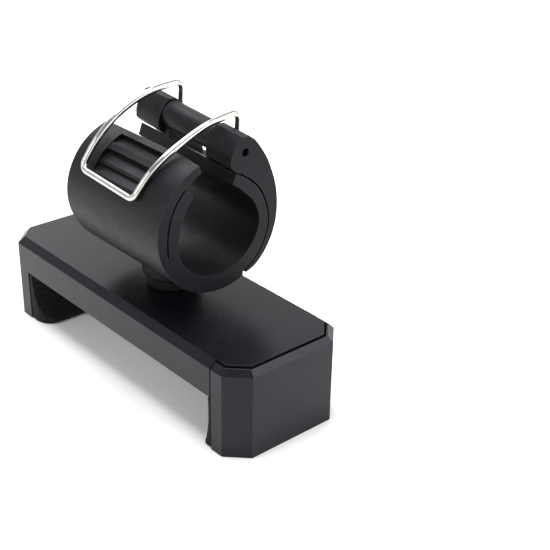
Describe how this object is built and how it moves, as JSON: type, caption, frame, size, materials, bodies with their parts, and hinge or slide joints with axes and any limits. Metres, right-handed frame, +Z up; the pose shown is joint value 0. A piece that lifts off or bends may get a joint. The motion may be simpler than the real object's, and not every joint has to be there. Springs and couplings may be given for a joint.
{
  "type": "phone clip with pole clamp",
  "caption": "Spring-jawed phone clip on a swivel, carried by a split ring that clamps a round pole with a lever and wire bail latch.",
  "frame": {"origin": "centre of the clip's plan, at the level of the feet of its jaws", "axes": "+X along the clip towards the moving jaw, +Z up towards the pole clamp, +Y towards the clamp's lever"},
  "size_m": [0.08, 0.0292, 0.0578],
  "materials": {
    "shell_plastic": "satin black",
    "jaw_plastic": "fine-textured black",
    "clamp_plastic": "fine-textured black",
    "inner_plastic": "plain black",
    "pad_rubber": "matt black",
    "wire_steel": "bright polished",
    "rod_steel": "ground",
    "spring_steel": "oiled",
    "fastener_steel": "zinc plated",
    "insert_brass": "turned"
  },
  "bodies": {
    "clip_body": {"body_shell": "shell_plastic", "bottom_cover": "inner_plastic", "cover_screw_1": "fastener_steel", "cover_screw_2": "fastener_steel", "cover_screw_3": "fastener_steel", "cover_screw_4": "fastener_steel", "back_pad": "pad_rubber", "centre_thread_insert": "insert_brass", "end_thread_insert": "insert_brass", "fixed_jaw_pad": "pad_rubber"},
    "sliding_jaw": {"moving_jaw": "jaw_plastic", "moving_jaw_pad": "pad_rubber", "slide_frame": "inner_plastic", "jaw_screw_left": "fastener_steel", "jaw_screw_right": "fastener_steel", "guide_rod_left": "rod_steel", "guide_rod_right": "rod_steel", "return_spring_left": "spring_steel", "return_spring_right": "spring_steel", "rod_clip_left": "fastener_steel", "rod_clip_right": "fastener_steel"},
    "clamp_head": {"friction_washer": "pad_rubber", "neck_stud": "fastener_steel", "ring_body": "clamp_plastic"},
    "lever": {"latch_lever": "clamp_plastic", "latch_pin": "rod_steel"},
    "bail": {"wire_bail": "wire_steel"}
  },
  "joints": [
    {"name": "jaw_slide", "type": "slide", "parent": "clip_body", "child": "sliding_jaw", "axis": [1, 0, 0], "range_m": [0, 0.025], "stiffness_N_per_m": 200, "springref_m": -0.02, "deforming": ["return_spring_left", "return_spring_right"]},
    {"name": "head_swivel", "type": "hinge", "parent": "clip_body", "child": "clamp_head", "pos_m": [0.0025, 0, 0.02], "axis": [0, 0, 1], "continuous": true},
    {"name": "lever_hinge", "type": "hinge", "parent": "clamp_head", "child": "lever", "pos_m": [0.0025, 0.0065, 0.05127], "axis": [0.9982, 0, -0.0599], "range_deg": [0, 100]},
    {"name": "bail_hinge", "type": "hinge", "parent": "lever", "child": "bail", "pos_m": [0.0025, 0.0102, 0.04947], "axis": [0.9982, 0, -0.0599], "range_deg": [-110, 0]}
  ],
  "couplings": [
    {"joint": "bail_hinge", "follows": "lever_hinge", "ratio": -1.1}
  ]
}
